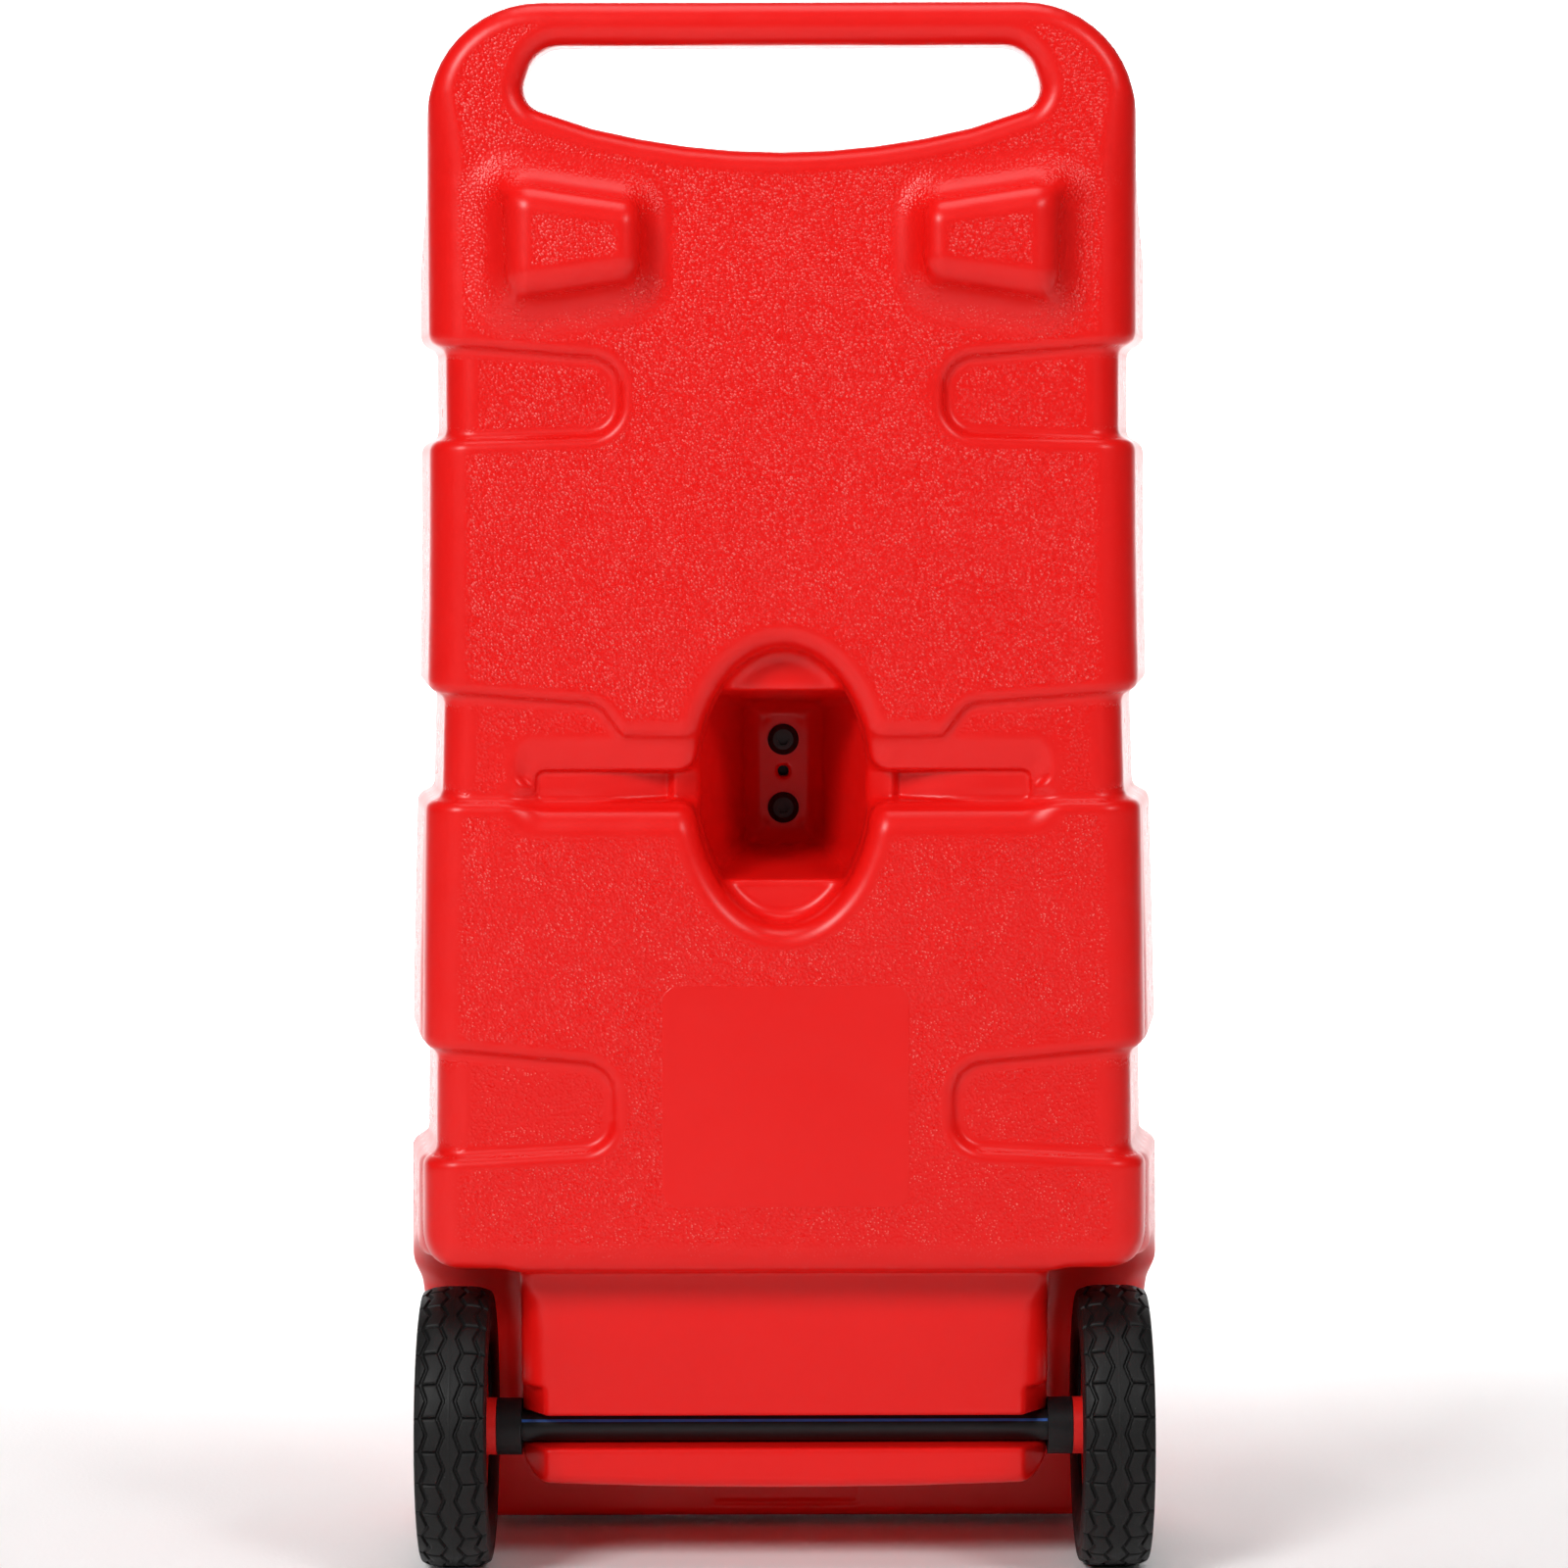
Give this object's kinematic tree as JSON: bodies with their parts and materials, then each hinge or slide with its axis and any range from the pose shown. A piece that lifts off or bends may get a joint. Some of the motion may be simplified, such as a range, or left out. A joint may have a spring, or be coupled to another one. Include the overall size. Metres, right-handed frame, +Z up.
{
  "type": "wheeled liquid tote",
  "caption": "Upright blow-moulded liquid tote with a moulded pull handle, wrap-round hose notches, a rear pocket, screw caps and a wheeled axle.",
  "frame": {"origin": "on the ground, below the middle of the whole tote's box", "axes": "+Z up, -Y the back with the axle and rest bumps, +Y the front, +X the right side seen from the back"},
  "size_m": [0.4124, 0.26, 0.8416],
  "materials": {
    "tank_plastic": "pebble-grained red polyethylene, smooth on fillets",
    "hub_plastic": "smooth red moulding",
    "black_plastic": "satin black moulding",
    "tyre_rubber": "block-treaded black rubber",
    "seal_rubber": "plain black rubber",
    "tube_plastic": "translucent white tube",
    "steel": "zinc-plated steel",
    "black_steel": "black-oxide steel"
  },
  "bodies": {
    "tote": {"tank_back": "tank_plastic", "tank_front": "tank_plastic", "tank_recess": "tank_plastic", "tank_shoulder": "tank_plastic", "pull_handle": "tank_plastic", "axle_rod": "steel", "axle_sleeve": "black_plastic", "left_spacer": "black_plastic", "right_spacer": "black_plastic", "left_axle_washer": "steel", "right_axle_washer": "steel", "left_axle_cap": "black_plastic", "right_axle_cap": "black_plastic", "outlet_ring": "black_plastic", "outlet_gasket": "seal_rubber", "hose_spigot": "black_plastic", "pickup_tube": "tube_plastic", "pickup_strainer": "black_plastic", "nozzle_holster": "black_plastic", "holster_bolts": "black_steel", "holster_washers": "steel", "holster_nuts": "steel"},
    "left_wheel": {"left_wheel_hub": "hub_plastic", "left_tyre": "tyre_rubber"},
    "right_wheel": {"right_wheel_hub": "hub_plastic", "right_tyre": "tyre_rubber"},
    "filler_seal": {"filler_gasket": "seal_rubber"},
    "filler_lid": {"filler_cap": "black_plastic"},
    "vent_seal": {"vent_gasket": "seal_rubber"},
    "vent_lid": {"vent_cap": "black_plastic"}
  },
  "joints": [
    {"name": "left_wheel_spin", "type": "hinge", "parent": "tote", "child": "left_wheel", "pos_m": [-0.1783, -0.0538, 0.0762], "axis": [1, 0, 0], "continuous": true},
    {"name": "right_wheel_spin", "type": "hinge", "parent": "tote", "child": "right_wheel", "pos_m": [0.1783, -0.0538, 0.0762], "axis": [1, 0, 0], "continuous": true},
    {"name": "filler_lift", "type": "slide", "parent": "tote", "child": "filler_seal", "axis": [0, 0.4052, 0.9142], "range_m": [0, 0.0085]},
    {"name": "filler_turn", "type": "hinge", "parent": "filler_seal", "child": "filler_lid", "pos_m": [-0.08, 0.08853, 0.71842], "axis": [0, 0.4052, 0.9142], "range_deg": [0, 720]},
    {"name": "vent_lift", "type": "slide", "parent": "tote", "child": "vent_seal", "axis": [0, 0.4052, 0.9142], "range_m": [0, 0.0046]},
    {"name": "vent_turn", "type": "hinge", "parent": "vent_seal", "child": "vent_lid", "pos_m": [0.134, 0.08367, 0.70744], "axis": [0, 0.4052, 0.9142], "range_deg": [0, 540]}
  ],
  "couplings": [
    {"joint": "filler_lift", "follows": "filler_turn", "m_per_rad": 0.00067322},
    {"joint": "vent_lift", "follows": "vent_turn", "m_per_rad": 0.00047746}
  ]
}
